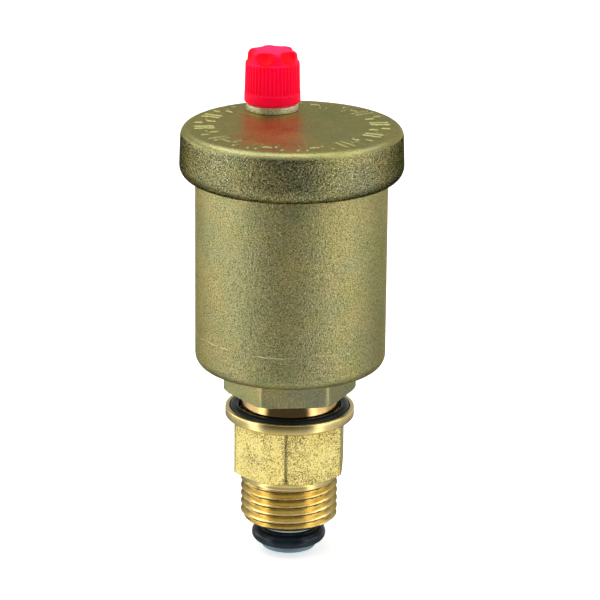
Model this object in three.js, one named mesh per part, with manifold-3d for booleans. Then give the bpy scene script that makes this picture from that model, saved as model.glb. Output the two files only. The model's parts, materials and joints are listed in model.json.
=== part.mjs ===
// Automatic air vent for a heating pipe, with the check valve that it screws into.
//
// Air that collects under the cover lets the float sink. The float pulls down a lever, the lever draws a
// small stem away from its seat, and the air leaves through the nozzle under the screw cap. Water lifts
// the float again and closes the seat. The check valve below closes when the vent is unscrewed from it.
//
// Millimetres, +Z up the vent's axis. z = 0 is the shoulder above the inlet thread of the check valve.
import * as THREE from "three";
import { mergeVertices } from "three/addons/utils/BufferGeometryUtils.js";
import Module from "manifold-3d";

const wasm = await Module();
wasm.setup();

// ---------------------------------------------------------------- driving dimensions
const FIT = 0.3; // radial clearance of one screw thread in another
const GAP = 0.1; // clearance between two pieces that rest on each other
const FACETS = 36; // facets round the casing
const SMALL_FACETS = 18; // facets round a small bore or shaft

// Screw threads: pitch, crest and root radius of the male thread, facets in a turn. All are right-handed.
const INLET_THREAD = { pitch: 1.814, crest: 10.45, root: 9.3, facets: 20 }; // G 1/2
const SPIGOT_THREAD = { pitch: 1.337, crest: 8.33, root: 7.48, facets: 18 }; // G 3/8
const COVER_THREAD = { pitch: 2, crest: 20.1, root: 19.1, facets: 24 };
const CAP_THREAD = { pitch: 1.25, crest: 4.15, root: 3.45, facets: 12 };

// Check valve
const INLET_END = -11; // lower end of the inlet thread
const COLLAR_LOW = -1.1; // plain collar between the inlet thread and the hexagon
const VALVE_HEX = { acrossFlats: 23, low: 0, high: 12.4, turned: -3, foot: 10.9 };
const FLANGE = { radius: 13.9, low: 12.3, high: 14.9, recess: 13.0, recessFloor: 13.3 };
const NECK_SEAL = { ring: 11.83, wire: 1.08 };
const VALVE_BORE = 7.3;
const LEDGE = { low: -8.2, high: -7.1, radius: 5.2 }; // carries the check spring
const MOUTH = { radius: 7.5, low: -9.9 }; // below it a 45 degree seat for the plunger's seal
const NECK_POCKET = 12.0; // floor of the pocket that the vent's neck enters

// Plunger of the check valve
const PLUNGER_SEAL = { ring: 6.47, wire: 1.63, z: -14.4 };
const PLUNGER = { low: -17.8, lipHigh: -11.6, lip: 6.0, foot: 5.9, fin: 4.7, sheet: 0.7, stem: 1.5 };
const RETAINER = { low: 3.0, high: 4.9, radius: 6.85 };
const CHECK_SPRING = { radius: 6.0, wire: 0.38, turns: 5 };

// Vent casing
const SPIGOT_END = 5.1;
const SPIGOT_BORE = 5.2;
const NECK = { radius: 10.65, low: 15.0 };
const BODY_HEX = { acrossFlats: 25, low: 18.75, high: 25.0, turned: 35, foot: 13.6 };
const BODY = { radius: 20.4, low: 24.5, corner: 2.6, shoulder: 66.5, rim: 72.7, bore: 17.8, floor: 27.2 };

// Cover
const COVER = { radius: 23.65, topRadius: 23.4, low: 65.2, high: 76.9, corner: 1.9, lowCorner: 2.6 };
const COVER_HOLLOW = { ceiling: 74.4, mouth: 20.9, ledge: 66.8, skirt: 19.4 };
const COVER_SEAL = { ring: 18.5, wire: 0.78 };
const BOSS = { radius: 5.5, offset: 11.6, low: 72.3 }; // thick patch inside the cover, round the valve

// Nozzle and cap. The nozzle stands off the axis, and the valve below it lies on the same radius.
const NOZZLE = { offset: 14.8, turned: 17, low: 75.2, top: 85.2, bore: 1.5, shank: 2.95 };
const COLLAR = { radius: 5.55, top: 78.4 }; // of the nozzle, on the cover
const CAP = { low: 78.7, band: 80.6, ribTop: 86.6, shoulder: 87.4, high: 90.1, radius: 6.05, head: 5.4 };
const CAP_RIBS = { count: 44, depth: 0.2 };
// Finger grips round the head of the cap.
const CAP_SCOOPS = { count: 6, radius: 2.6, ring: 6.5, z: 89.9, turned: 44 };
const CAP_SEAL = { low: 85.3, high: 86.4, radius: 4.2 };
const CAP_CEILING = 86.5;

// Float valve, in the plane through the axis and the nozzle
const SEAT = { offset: 10.6, low: 69.6, shank: 1.6, top: 73.9, orifice: 0.7 };
const PASSAGE = { half: 0.8, low: 73.9, high: 75.1 }; // from the top of the seat to below the nozzle
const BRACKET = { thick: 0.75, inner: 2.1, ear: 0.7, near: 7.8, far: 15.9, earNear: 13.3 };
const PIVOT = { offset: 14.6, z: 63.8, radius: 0.6 };
const LEVER = { thick: 0.9, half: 1.8, eye: 1.45, hub: 1.25, drop: 8.95 };
const STEM = { top: 68.3, seal: 67.5, head: 66.9, low: 61.9, shaft: 0.8, collar: 1.6, needle: 0.4 };
const VALVE_SPRING = { radius: 1.25, wire: 0.18, turns: 4, low: 64.1 };
const FLOAT = { radius: 16.3, guideRadius: 17.2, low: 27.6, high: 56.5, wall: 1.2, pin: 0.5 };

// ---------------------------------------------------------------- materials
const finish = (color, roughness, metalness) =>
  new THREE.MeshStandardMaterial({ color, roughness, metalness });
const blastedBrass = finish(0x8a8154, 0.6, 1);
const turnedBrass = finish(0xc9a550, 0.3, 1);
const hexBrass = finish(0xd2c077, 0.5, 1);
const redPlastic = finish(0xe0122f, 0.4, 0);
const greyPlastic = finish(0x7b8c92, 0.5, 0);
const whitePlastic = finish(0xe4e2da, 0.5, 0);
const blackRubber = finish(0x1c2226, 0.6, 0);
const steel = finish(0xb4b7ba, 0.35, 1);

// ---------------------------------------------------------------- shapes
// Points of an arc in a profile, from one angle to another, in degrees.
const arc = (r, z, radius, from, to, steps = 3) =>
  Array.from({ length: steps + 1 }, (_, i) => {
    const a = THREE.MathUtils.degToRad(from + ((to - from) * i) / steps);
    return [r + radius * Math.cos(a), z + radius * Math.sin(a)];
  });

// Geometry as a solid for joining and cutting. Triangles with no area are dropped, and an
// inside-out surface is turned over.
function solid(geometry) {
  const bare = new THREE.BufferGeometry().setAttribute("position", geometry.getAttribute("position"));
  if (geometry.index) bare.setIndex(geometry.index);
  const merged = mergeVertices(bare, 1e-4);
  const index = merged.index.array;
  const at = merged.getAttribute("position");
  const kept = [];
  let volume = 0;
  const [a, b, c] = [new THREE.Vector3(), new THREE.Vector3(), new THREE.Vector3()];
  for (let i = 0; i < index.length; i += 3) {
    const [p, q, r] = [index[i], index[i + 1], index[i + 2]];
    if (p === q || q === r || r === p) continue;
    kept.push(p, q, r);
    b.fromBufferAttribute(at, q).cross(c.fromBufferAttribute(at, r));
    volume += a.fromBufferAttribute(at, p).dot(b);
  }
  const triVerts = new Uint32Array(volume < 0 ? kept.reverse() : kept);
  const vertProperties = new Float32Array(at.array);
  return new wasm.Manifold(new wasm.Mesh({ numProp: 3, vertProperties, triVerts }));
}

// A solid as geometry again.
function geometryOf(made) {
  const { vertProperties, triVerts } = made.getMesh();
  const flat = new THREE.BufferGeometry();
  flat.setAttribute("position", new THREE.BufferAttribute(vertProperties, 3));
  flat.setIndex(new THREE.BufferAttribute(triVerts, 1));
  flat.computeVertexNormals();
  return flat;
}

// Profile of [radius, z] points turned round the Z axis. It starts and ends on the axis or closes on itself.
function turned(profile, facets = FACETS) {
  const points = profile.map(([r, z]) => new THREE.Vector2(r, z));
  return solid(new THREE.LatheGeometry(points, facets).rotateX(Math.PI / 2));
}

// Disc round the Z axis.
const disc = (radius, low, high, facets = SMALL_FACETS) =>
  turned([[0, low], [radius, low], [radius, high], [0, high]], facets);

// Round hole or pin that runs along X: its outline for spread().
const round = (y, z, radius) => arc(y, z, radius, 0, 330, 11);

// Outline of [x, y] points raised from low to high.
function raised(outline, low, high) {
  const shape = new THREE.Shape(outline.map(([x, y]) => new THREE.Vector2(x, y)));
  const options = { depth: high - low, bevelEnabled: false };
  return solid(new THREE.ExtrudeGeometry(shape, options).translate(0, 0, low));
}

// Outline of [y, z] points spread along X, the same way on each side of x = 0.
function spread(outline, half, middle = 0) {
  const shape = new THREE.Shape(outline.map(([y, z]) => new THREE.Vector2(y, z)));
  const geometry = new THREE.ExtrudeGeometry(shape, { depth: 2 * half, bevelEnabled: false });
  geometry.translate(0, 0, middle - half);
  geometry.rotateY(Math.PI / 2).rotateX(Math.PI / 2);
  return solid(geometry);
}

function box(x0, x1, y0, y1, z0, z1) {
  const block = new THREE.BoxGeometry(x1 - x0, y1 - y0, z1 - z0);
  return solid(block.translate((x0 + x1) / 2, (y0 + y1) / 2, (z0 + z1) / 2));
}

const ball = (radius, x, y, z) => solid(new THREE.SphereGeometry(radius, 10, 6).translate(x, y, z));

// Hexagon with one corner turned the given angle from -Y. Where a foot is given, its lower corners are
// chamfered at 30 degrees to a circle of that radius.
function hexagon({ acrossFlats, low, high, turned: angle = 0, foot }) {
  const corner = acrossFlats / Math.sqrt(3);
  const outline = Array.from({ length: 6 }, (_, i) => {
    const a = THREE.MathUtils.degToRad(60 * i - 90 + angle);
    return [corner * Math.cos(a), corner * Math.sin(a)];
  });
  const prism = raised(outline, low, high);
  if (!foot) return prism;
  const wide = corner + 0.1;
  const chamfer = low + (wide - foot) / Math.sqrt(3);
  return prism.intersect(turned([[0, low], [foot, low], [wide, chamfer], [wide, high], [0, high]]));
}

// O-ring: wire is the radius of its section, and ring the radius of the section's centre line.
const seal = ({ ring, wire }, z) => new THREE.TorusGeometry(ring, wire, 8, 28).translate(0, 0, z);

// Bar with a V-shaped screw thread that covers low to high and a turn more at each end. Its vertices lie
// on the root's helix and the crest's, so a bar that is grown by a clearance stays in step with its mate.
function threadedBar({ pitch, crest, root, facets }, low, high, grow = 0) {
  const first = Math.floor(low / pitch) - 1;
  const turns = Math.ceil(high / pitch) + 1 - first;
  const count = turns * facets;
  const positions = [];
  const helix = (radius, rise, length) => {
    const start = positions.length / 3;
    for (let i = 0; i <= length; i++) {
      const a = (2 * Math.PI * i) / facets;
      positions.push(radius * Math.cos(a), radius * Math.sin(a), pitch * (first + i / facets + rise));
    }
    return (i) => start + i;
  };
  const rootAt = helix(root + grow, 0, count + facets);
  const crestAt = helix(crest + grow, 0.5, count);
  const bottom = positions.push(0, 0, pitch * first) / 3 - 1;
  const top = positions.push(0, 0, pitch * (first + turns + 1)) / 3 - 1;
  const faces = [];
  const quad = (a, b, c, d) => faces.push(a, b, c, a, c, d);
  for (let i = 0; i < count; i++) {
    quad(rootAt(i), rootAt(i + 1), crestAt(i + 1), crestAt(i));
    quad(crestAt(i), crestAt(i + 1), rootAt(i + facets + 1), rootAt(i + facets));
  }
  for (let i = 0; i < facets; i++) {
    faces.push(bottom, rootAt(i + 1), rootAt(i));
    faces.push(top, rootAt(count + i), rootAt(count + i + 1));
  }
  faces.push(bottom, rootAt(0), crestAt(0), bottom, crestAt(0), rootAt(facets));
  faces.push(top, crestAt(count), rootAt(count), top, rootAt(count + facets), crestAt(count));
  const geometry = new THREE.BufferGeometry();
  geometry.setAttribute("position", new THREE.Float32BufferAttribute(positions, 3));
  geometry.setIndex(faces);
  return solid(geometry);
}

// Coil spring round the Z axis.
function coil({ radius, wire, turns }, low, high, stepsPerTurn, sides) {
  class Helix extends THREE.Curve {
    getPoint(t, point = new THREE.Vector3()) {
      const a = 2 * Math.PI * turns * t;
      return point.set(radius * Math.cos(a), radius * Math.sin(a), low + wire + (high - low - 2 * wire) * t);
    }
  }
  const section = new THREE.Shape(
    Array.from({ length: sides }, (_, i) => {
      const a = (2 * Math.PI * i) / sides;
      return new THREE.Vector2(wire * Math.cos(a), wire * Math.sin(a));
    }),
  );
  const options = { steps: Math.round(turns * stepsPerTurn), bevelEnabled: false, extrudePath: new Helix() };
  return solid(new THREE.ExtrudeGeometry(section, options));
}

const joined = (...solids) => solids.reduce((whole, s) => whole.add(s));

// ---------------------------------------------------------------- check valve
function checkBody() {
  const threadEnvelope = turned([
    [0, INLET_END],
    [INLET_THREAD.root - 0.5, INLET_END],
    [INLET_THREAD.crest + 0.1, INLET_END + 1.3],
    [INLET_THREAD.crest + 0.1, COLLAR_LOW + 0.2],
    [0, COLLAR_LOW + 0.2],
  ], INLET_THREAD.facets);
  const flange = turned([
    [0, FLANGE.low],
    [FLANGE.radius - 0.7, FLANGE.low],
    [FLANGE.radius, FLANGE.low + 0.7],
    [FLANGE.radius, FLANGE.high],
    [0, FLANGE.high],
  ]);
  const bore = turned([
    [0, INLET_END - 1],
    [MOUTH.radius + MOUTH.low - INLET_END + 1, INLET_END - 1],
    [MOUTH.radius, MOUTH.low],
    [MOUTH.radius, LEDGE.low],
    [LEDGE.radius, LEDGE.low],
    [LEDGE.radius, LEDGE.high],
    [VALVE_BORE, LEDGE.high],
    [VALVE_BORE, NECK_POCKET],
    [NECK.radius + FIT, NECK_POCKET],
    [NECK.radius + FIT, FLANGE.recessFloor],
    [FLANGE.recess, FLANGE.recessFloor],
    [FLANGE.recess, FLANGE.high + 1],
    [0, FLANGE.high + 1],
  ], 30);
  const threadCut = threadedBar(SPIGOT_THREAD, 2.5, NECK_POCKET, FIT).intersect(
    disc(NECK.radius, 1.6, NECK_POCKET + 0.2),
  );
  const thread = threadedBar(INLET_THREAD, INLET_END, COLLAR_LOW + 0.2).intersect(threadEnvelope);
  const collar = disc(INLET_THREAD.crest, COLLAR_LOW, VALVE_HEX.low + 0.5, FACETS);
  return joined(hexagon(VALVE_HEX), collar, thread, flange).subtract(bore).subtract(threadCut);
}

// Spool with a groove for its seal, and a stem of crossed fins that runs up through the check spring.
function checkPlunger() {
  const groove = PLUNGER_SEAL.ring - PLUNGER_SEAL.wire - GAP;
  const spool = turned([
    [0, PLUNGER.low],
    [PLUNGER.foot - 0.6, PLUNGER.low],
    [PLUNGER.foot, PLUNGER.low + 0.6],
    [PLUNGER.foot, PLUNGER_SEAL.z - PLUNGER_SEAL.wire - GAP],
    [groove, PLUNGER_SEAL.z - PLUNGER_SEAL.wire - GAP],
    [groove, PLUNGER_SEAL.z + PLUNGER_SEAL.wire + GAP],
    [PLUNGER.lip, PLUNGER_SEAL.z + PLUNGER_SEAL.wire + GAP],
    [PLUNGER.lip, PLUNGER.lipHigh],
    [0, PLUNGER.lipHigh],
  ], 32);
  const fin = [PLUNGER.lipHigh - 0.2, RETAINER.low - GAP];
  const fins = joined(
    box(-PLUNGER.fin, PLUNGER.fin, -PLUNGER.sheet, PLUNGER.sheet, ...fin),
    box(-PLUNGER.sheet, PLUNGER.sheet, -PLUNGER.fin, PLUNGER.fin, ...fin),
    disc(PLUNGER.stem, fin[0], RETAINER.high - 0.3, 12),
  );
  return joined(spool, fins);
}

// Disc clipped on the plunger's stem, with three water ways. The vent's spigot pushes it down.
function springRetainer() {
  const { low, high, radius } = RETAINER;
  const rim = disc(radius, low, high, 24).subtract(disc(radius - 1.6, low - 1, high + 1, 24));
  const hub = disc(2.6, low, low + 1.3, 12).subtract(disc(PLUNGER.stem + GAP, low - 1, high, 12));
  const spoke = box(2.2, radius - 1.2, -0.6, 0.6, low, low + 1.3);
  return joined(rim, hub, ...[0, 120, 240].map((angle) => spoke.rotate([0, 0, angle])));
}

// ---------------------------------------------------------------- vent casing
function ventBody() {
  const casing = turned([
    [0, BODY.low],
    ...arc(BODY.radius - BODY.corner, BODY.low + BODY.corner, BODY.corner, -90, 0, 4),
    [BODY.radius, BODY.shoulder - 0.3],
    [BODY.radius - 0.3, BODY.shoulder],
    [0, BODY.shoulder],
  ]);
  const rimEnvelope = turned([
    [0, BODY.shoulder - 0.5],
    [COVER_THREAD.crest + 0.1, BODY.shoulder - 0.5],
    [COVER_THREAD.crest + 0.1, BODY.rim - 1.0],
    [COVER_THREAD.root - 0.1, BODY.rim],
    [0, BODY.rim],
  ], COVER_THREAD.facets);
  const rim = threadedBar(COVER_THREAD, BODY.shoulder, BODY.rim).intersect(rimEnvelope);
  const neck = disc(NECK.radius, NECK.low, BODY_HEX.low + 0.5, 36);
  const spigotEnvelope = turned([
    [0, SPIGOT_END],
    [SPIGOT_THREAD.root - 0.2, SPIGOT_END],
    [SPIGOT_THREAD.crest + 0.1, SPIGOT_END + 0.9],
    [SPIGOT_THREAD.crest + 0.1, NECK.low - 0.9],
    [SPIGOT_THREAD.root - 0.1, NECK.low - 0.1],
    [SPIGOT_THREAD.root - 0.1, NECK.low + 0.5],
    [0, NECK.low + 0.5],
  ], SPIGOT_THREAD.facets);
  const spigot = threadedBar(SPIGOT_THREAD, SPIGOT_END, NECK.low).intersect(spigotEnvelope);
  const chamber = turned([
    [0, BODY.floor],
    ...arc(BODY.bore - 2, BODY.floor + 2, 2, -90, 0, 3),
    [BODY.bore, BODY.rim + 1],
    [0, BODY.rim + 1],
  ], 36);
  const bore = disc(SPIGOT_BORE, SPIGOT_END - 1, BODY.floor + 1, 24);
  const hex = hexagon(BODY_HEX);
  return joined(casing, rim, hex, neck, spigot).subtract(chamber).subtract(bore);
}

// ---------------------------------------------------------------- cover
const nozzleAxis = (offset) => {
  const a = THREE.MathUtils.degToRad(90 + NOZZLE.turned);
  return [offset * Math.cos(a), offset * Math.sin(a), 0];
};

function cover() {
  const shell = turned([
    [0, COVER_HOLLOW.ceiling - 1],
    [COVER_HOLLOW.skirt, COVER_HOLLOW.ceiling - 1],
    [COVER_HOLLOW.skirt, COVER_HOLLOW.ledge],
    [COVER_HOLLOW.mouth, COVER_HOLLOW.ledge],
    [COVER_HOLLOW.mouth, COVER.low],
    ...arc(COVER.radius - COVER.lowCorner, COVER.low + COVER.lowCorner, COVER.lowCorner, -90, 0),
    ...arc(COVER.topRadius - COVER.corner, COVER.high - COVER.corner, COVER.corner, 0, 90),
    [0, COVER.high],
  ]);
  const ceiling = disc(COVER_HOLLOW.skirt, COVER_HOLLOW.ceiling - 2, COVER_HOLLOW.ceiling, 36);
  const threadCut = threadedBar(COVER_THREAD, COVER_HOLLOW.ledge, BODY.rim + FIT, FIT).intersect(
    disc(COVER_HOLLOW.mouth, COVER_HOLLOW.ledge - 0.1, BODY.rim + 0.4, COVER_THREAD.facets),
  );
  const boss = disc(BOSS.radius, BOSS.low, COVER_HOLLOW.ceiling + 0.5).translate(nozzleAxis(BOSS.offset));
  const nozzleHole = disc(NOZZLE.shank + GAP, NOZZLE.low - GAP, COVER.high + 1);
  const seatHole = disc(SEAT.shank + GAP, BOSS.low - 1, SEAT.top + GAP);
  const passage = box(-PASSAGE.half, PASSAGE.half, SEAT.offset, NOZZLE.offset, PASSAGE.low, PASSAGE.high);
  const holes = joined(
    nozzleHole.translate(nozzleAxis(NOZZLE.offset)),
    seatHole.translate(nozzleAxis(SEAT.offset)),
    passage.rotate([0, 0, NOZZLE.turned]),
  );
  return joined(shell.subtract(ceiling).subtract(threadCut), boss).subtract(holes);
}

// ---------------------------------------------------------------- nozzle and cap, round their own axis
function ventNozzle() {
  const collar = disc(COLLAR.radius, COVER.high + GAP, COLLAR.top, 28);
  const shank = disc(NOZZLE.shank, NOZZLE.low, COVER.high + 0.5);
  const envelope = turned([
    [0, COVER.high + 0.5],
    [CAP_THREAD.root - 0.1, COVER.high + 0.5],
    [CAP_THREAD.root - 0.1, COLLAR.top + 0.5],
    [CAP_THREAD.crest + 0.1, COLLAR.top + 1.1],
    [CAP_THREAD.crest + 0.1, NOZZLE.top - 0.7],
    [CAP_THREAD.root - 0.2, NOZZLE.top],
    [0, NOZZLE.top],
  ], CAP_THREAD.facets);
  const thread = threadedBar(CAP_THREAD, COLLAR.top, NOZZLE.top).intersect(envelope);
  const bore = disc(NOZZLE.bore, NOZZLE.low - 1, NOZZLE.top + 1, 14);
  return joined(collar, shank, thread).subtract(bore);
}

function ventCap() {
  const core = turned([
    [0, CAP.low],
    [CAP.radius, CAP.low],
    [CAP.radius, CAP.band],
    [CAP.radius - CAP_RIBS.depth, CAP.band],
    [CAP.radius - CAP_RIBS.depth, CAP.ribTop],
    [CAP.head, CAP.shoulder],
    [CAP.head, CAP.high - 0.8],
    [CAP.head - 0.7, CAP.high],
    [0, CAP.high],
  ], CAP_RIBS.count);
  const ribs = raised(
    Array.from({ length: 2 * CAP_RIBS.count }, (_, i) => {
      const a = (Math.PI * i) / CAP_RIBS.count;
      const radius = CAP.radius - (i % 2 ? CAP_RIBS.depth + 0.05 : 0);
      return [radius * Math.cos(a), radius * Math.sin(a)];
    }),
    CAP.band - 0.2,
    CAP.ribTop,
  );
  const scoops = Array.from({ length: CAP_SCOOPS.count }, (_, i) => {
    const a = THREE.MathUtils.degToRad((360 * i) / CAP_SCOOPS.count - 90 + CAP_SCOOPS.turned);
    const { radius, ring, z } = CAP_SCOOPS;
    return ball(radius, ring * Math.cos(a), ring * Math.sin(a), z);
  });
  const inside = turned([
    [0, CAP.low - 1],
    [CAP_THREAD.crest + 2 * FIT, CAP.low - 1],
    [CAP_THREAD.crest + 2 * FIT, CAP.low + 0.5],
    [CAP_THREAD.root + FIT + 0.05, CAP.low + 1.2],
    [CAP_THREAD.root + FIT + 0.05, CAP_SEAL.low - GAP],
    [CAP_SEAL.radius + 0.2, CAP_SEAL.low - GAP],
    [CAP_SEAL.radius + 0.2, CAP_CEILING],
    [0, CAP_CEILING],
  ], CAP_THREAD.facets);
  const threadCut = threadedBar(CAP_THREAD, CAP.low, NOZZLE.top, FIT).intersect(
    disc(CAP_THREAD.crest + 1, CAP.low + 0.8, CAP_SEAL.low),
  );
  return joined(core, ribs).subtract(joined(...scoops)).subtract(inside).subtract(threadCut);
}

// ---------------------------------------------------------------- float valve, in the plane x = 0
function valveSeat() {
  const head = hexagon({ acrossFlats: 4.4, low: SEAT.low + 0.5, high: BOSS.low - BRACKET.thick - 2 * GAP });
  const tip = disc(1.3, SEAT.low, SEAT.low + 1, 16);
  const shank = disc(SEAT.shank, SEAT.low + 1, SEAT.top, 16);
  return joined(head, tip, shank).subtract(disc(SEAT.orifice, SEAT.low - 1, SEAT.top + 1, 12));
}

// U-shaped sheet clamped under the boss by the seat, with an ear on each side of the lever.
function leverBracket() {
  const outer = BRACKET.inner + BRACKET.ear;
  const top = BOSS.low - GAP;
  const plate = box(-outer, outer, BRACKET.near, BRACKET.far, top - BRACKET.thick, top);
  const ear = [-1, 1].map((side) =>
    spread(
      [
        [BRACKET.earNear, top - BRACKET.thick / 2],
        [BRACKET.earNear, PIVOT.z],
        ...arc(PIVOT.offset, PIVOT.z, 1.3, 180, 360, 8),
        [BRACKET.far, top - BRACKET.thick / 2],
      ],
      BRACKET.ear / 2,
      side * (BRACKET.inner + BRACKET.ear / 2),
    ),
  );
  const pinHole = spread(round(PIVOT.offset, PIVOT.z, PIVOT.radius + GAP), outer + 1);
  const seatHole = disc(SEAT.shank + GAP, top - 2, top + 1, 16).translate([0, SEAT.offset, 0]);
  return joined(plate, ...ear).subtract(pinHole).subtract(seatHole);
}

const pivotPin = () =>
  spread(round(PIVOT.offset, PIVOT.z, PIVOT.radius), BRACKET.inner + BRACKET.ear + 0.5);

// Arm from the pivot to the float's pin, made level and then dropped to where the empty float leaves it.
function floatLever() {
  const half = LEVER.thick / 2;
  const arm = box(-LEVER.half, LEVER.half, 0.6, PIVOT.offset - 0.6, -half, half);
  const hub = spread(round(PIVOT.offset, 0, LEVER.hub), LEVER.half);
  const eye = spread(round(0, 0, LEVER.eye), LEVER.half);
  const wide = FLOAT.pin + 0.25;
  const slot = [...arc(0.35, 0, wide, -90, 90, 6), ...arc(-0.35, 0, wide, 90, 270, 6)];
  const holes = joined(
    spread(slot, LEVER.half + 1),
    spread(round(PIVOT.offset, 0, PIVOT.radius + 0.15), LEVER.half + 1),
    disc(STEM.shaft + 0.35, -2, 2, 16).translate([0, SEAT.offset, 0]),
  );
  const level = joined(arm, hub, eye).subtract(holes);
  const swung = level.translate([0, -PIVOT.offset, 0]).rotate([LEVER.drop, 0, 0]);
  return swung.translate([0, PIVOT.offset, PIVOT.z]);
}

// Stem with a needle that enters the orifice, a head for the seal and a foot below the lever.
function valveStem() {
  return turned([
    [0, STEM.low],
    [STEM.collar, STEM.low],
    [STEM.collar, STEM.low + 0.5],
    [STEM.shaft, STEM.low + 0.5],
    [STEM.shaft, STEM.head],
    [STEM.collar, STEM.head],
    [STEM.collar, STEM.seal],
    [STEM.needle, STEM.seal],
    [STEM.needle, SEAT.low + 0.6],
    [0, SEAT.low + 1.0],
  ], 16);
}

const stemSeal = () =>
  turned([
    [STEM.needle + GAP, STEM.seal + GAP],
    [STEM.collar, STEM.seal + GAP],
    [STEM.collar, STEM.top],
    [STEM.needle + GAP, STEM.top],
    [STEM.needle + GAP, STEM.seal + GAP],
  ], 16);

// Bell with four guide ribs and two lugs for the pin. Its open end is closed by the float base.
function floatShell() {
  const { radius, guideRadius, low, high, wall } = FLOAT;
  const bell = turned([
    [0, high - wall],
    ...arc(radius - wall - 1.5, high - wall - 1.5, 1.5, 90, 0, 2),
    [radius - wall, low],
    [radius, low],
    ...arc(radius - 2, high - 2, 2, 0, 90, 3),
    [0, high],
  ], 36);
  const guide = box(radius - 0.6, guideRadius, -0.6, 0.6, low + 2, high - 4);
  const guides = [45, 135, 225, 315].map((angle) => guide.rotate([0, 0, angle]));
  const pin = FLOAT_PIN_Z;
  const lugs = [-1, 1].map((side) =>
    spread(
      [[-1.6, high - 0.6], [1.6, high - 0.6], ...arc(0, pin, 1.2, 0, 180, 6)],
      0.4,
      side * (LEVER.half + 0.7),
    ),
  );
  const pinHole = spread(round(0, pin, FLOAT.pin + GAP), LEVER.half + 2);
  return joined(bell, ...guides, ...lugs).subtract(pinHole);
}

// Height of the float's pin while the float hangs at the bottom of its travel.
const FLOAT_PIN_Z = PIVOT.z - PIVOT.offset * Math.sin(THREE.MathUtils.degToRad(LEVER.drop));

const floatPin = () => spread(round(0, FLOAT_PIN_Z, FLOAT.pin), LEVER.half + 1.4);

const floatBase = () =>
  disc(FLOAT.radius - FLOAT.wall - 0.15, FLOAT.low + 0.2, FLOAT.low + 1.4, FACETS);

// ---------------------------------------------------------------- assembly
function piece(name, shape, material) {
  const geometry = shape.isBufferGeometry ? shape : geometryOf(shape);
  const mesh = new THREE.Mesh(geometry, material);
  mesh.name = name;
  return mesh;
}

const checkValve = new THREE.Group();
checkValve.add(
  piece("check_valve_body", checkBody(), hexBrass),
  piece("neck_o_ring", seal(NECK_SEAL, FLANGE.recessFloor + NECK_SEAL.wire + GAP / 2), blackRubber),
  piece("check_plunger", checkPlunger(), greyPlastic),
  piece("plunger_o_ring", seal(PLUNGER_SEAL, PLUNGER_SEAL.z), blackRubber),
  piece("spring_retainer", springRetainer(), greyPlastic),
  piece("check_spring", coil(CHECK_SPRING, LEDGE.high + GAP, RETAINER.low - GAP, 12, 5), steel),
);

// Float valve, turned with the cover so that it lies on the nozzle's radius.
const floatValve = new THREE.Group();
floatValve.rotation.z = THREE.MathUtils.degToRad(NOZZLE.turned);
floatValve.add(
  piece("lever_bracket", leverBracket(), steel),
  piece("pivot_pin", pivotPin(), steel),
  piece("float_lever", floatLever(), steel),
  piece("float_shell", floatShell(), whitePlastic),
  piece("float_base", floatBase(), whitePlastic),
  piece("float_pin", floatPin(), steel),
);

const orifice = new THREE.Group();
orifice.position.y = SEAT.offset;
orifice.add(
  piece("valve_seat", valveSeat(), turnedBrass),
  piece("valve_stem", valveStem(), turnedBrass),
  piece("stem_seal", stemSeal(), blackRubber),
  piece("valve_spring", coil(VALVE_SPRING, VALVE_SPRING.low, STEM.head - GAP, 10, 4), steel),
);
floatValve.add(orifice);

// The nozzle and its cap stay unturned, because their threads are round the nozzle's own axis.
const outlet = new THREE.Group();
outlet.position.set(...nozzleAxis(NOZZLE.offset));
outlet.add(
  piece("vent_nozzle", ventNozzle(), turnedBrass),
  piece("cap_seal", disc(CAP_SEAL.radius, CAP_SEAL.low, CAP_SEAL.high, 12), blackRubber),
  piece("vent_cap", ventCap(), redPlastic),
);

const vent = new THREE.Group();
vent.add(
  piece("vent_body", ventBody(), blastedBrass),
  piece("cover", cover(), blastedBrass),
  piece("cover_o_ring", seal(COVER_SEAL, BODY.rim + COVER_SEAL.wire + GAP / 2), blackRubber),
  floatValve,
  outlet,
);

const airVent = new THREE.Group();
airVent.add(checkValve, vent);

export default airVent;
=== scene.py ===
# Automatic air vent on its check valve: the finished pieces, their materials, a floor, lights and a camera.
# Lengths are in millimetres and become metres where MM multiplies them. Only the materials' bump distances
# are written in metres, and their noise scales are per metre.
import json
import math

import bpy
import numpy as np
from mathutils import Matrix, Vector


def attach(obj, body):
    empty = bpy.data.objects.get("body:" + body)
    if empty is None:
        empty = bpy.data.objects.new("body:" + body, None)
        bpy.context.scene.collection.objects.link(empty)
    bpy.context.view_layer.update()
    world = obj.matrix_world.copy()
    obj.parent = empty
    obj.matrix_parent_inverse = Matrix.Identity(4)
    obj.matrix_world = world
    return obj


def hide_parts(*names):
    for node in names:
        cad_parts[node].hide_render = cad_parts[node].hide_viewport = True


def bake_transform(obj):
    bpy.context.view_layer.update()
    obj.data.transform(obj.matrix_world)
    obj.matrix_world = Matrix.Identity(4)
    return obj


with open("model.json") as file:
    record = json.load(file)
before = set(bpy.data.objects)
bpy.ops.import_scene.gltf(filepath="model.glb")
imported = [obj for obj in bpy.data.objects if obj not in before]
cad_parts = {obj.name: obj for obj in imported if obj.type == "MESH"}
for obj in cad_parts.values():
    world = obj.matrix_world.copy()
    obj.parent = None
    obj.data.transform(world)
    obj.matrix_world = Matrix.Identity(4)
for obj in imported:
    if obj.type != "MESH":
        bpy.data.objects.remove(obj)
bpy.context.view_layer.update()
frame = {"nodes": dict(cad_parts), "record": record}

MM = 0.001
EDGE = 0.12  # round left on a machined edge
ARC_SHARE = 0.96  # of a profile's side, how much its two arcs may use up
FLAT_CORNER = math.radians(87)  # half of a corner that is too flat for an arc

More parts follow.
